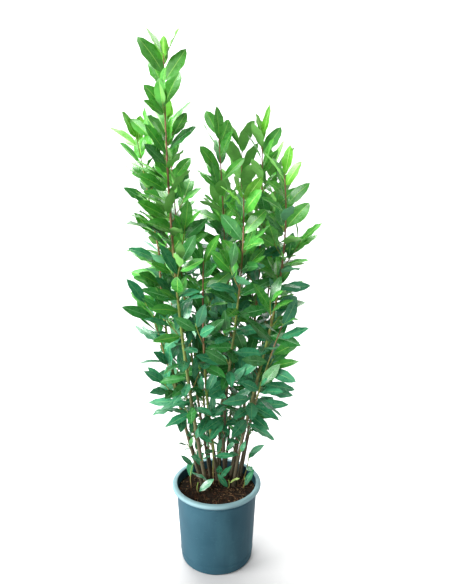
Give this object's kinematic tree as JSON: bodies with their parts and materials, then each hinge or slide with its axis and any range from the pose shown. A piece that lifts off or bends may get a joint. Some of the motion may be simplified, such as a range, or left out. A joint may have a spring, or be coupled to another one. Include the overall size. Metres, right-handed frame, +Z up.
{
  "type": "potted multi-stem bay laurel shrub",
  "caption": "Tall narrow bay laurel shrub: a clump of slender leafy stems with pointed green leaves, growing from compost in a round tapered blue-grey plastic pot with a rolled rim.",
  "frame": {"origin": "middle of the pot's flat underside, on the surface it stands on", "axes": "+Z up the plant; the tallest stem is on the -X side; the fuller, front side of the crown faces -Y"},
  "size_m": [0.6137, 0.456, 1.6064],
  "materials": {
    "pot_plastic": "satin",
    "compost_soil": "matte",
    "bark": "matte",
    "bay_leaf": "satin"
  },
  "bodies": {
    "root": {"pot": "pot_plastic", "compost": "compost_soil", "stem_left_tall": "bark", "stem_left_back": "bark", "stem_left_inner": "bark", "stem_left_low": "bark", "stem_middle_thick": "bark", "stem_middle_front": "bark", "stem_middle_tall": "bark", "stem_middle_back": "bark", "stem_right_tall": "bark", "stem_right_front": "bark", "stem_right_low": "bark", "stem_right_back": "bark", "stem_back_left": "bark", "stem_back_left_low": "bark", "stem_back_middle": "bark", "stem_back_right": "bark", "foliage_left_tall": "bay_leaf", "foliage_left_back": "bay_leaf", "foliage_left_inner": "bay_leaf", "foliage_left_low": "bay_leaf", "foliage_middle_thick": "bay_leaf", "foliage_middle_front": "bay_leaf", "foliage_middle_tall": "bay_leaf", "foliage_middle_back": "bay_leaf", "foliage_right_tall": "bay_leaf", "foliage_right_front": "bay_leaf", "foliage_right_low": "bay_leaf", "foliage_right_back": "bay_leaf", "foliage_back_left": "bay_leaf", "foliage_back_left_low": "bay_leaf", "foliage_back_middle": "bay_leaf", "foliage_back_right": "bay_leaf", "basal_shoot_right": "bay_leaf", "basal_shoot_right_low": "bay_leaf", "basal_shoot_front": "bay_leaf", "basal_shoot_front_low": "bay_leaf", "basal_shoot_left": "bay_leaf", "basal_shoot_left_low": "bay_leaf", "basal_shoot_inner": "bay_leaf", "basal_shoot_back": "bay_leaf"}
  },
  "joints": []
}
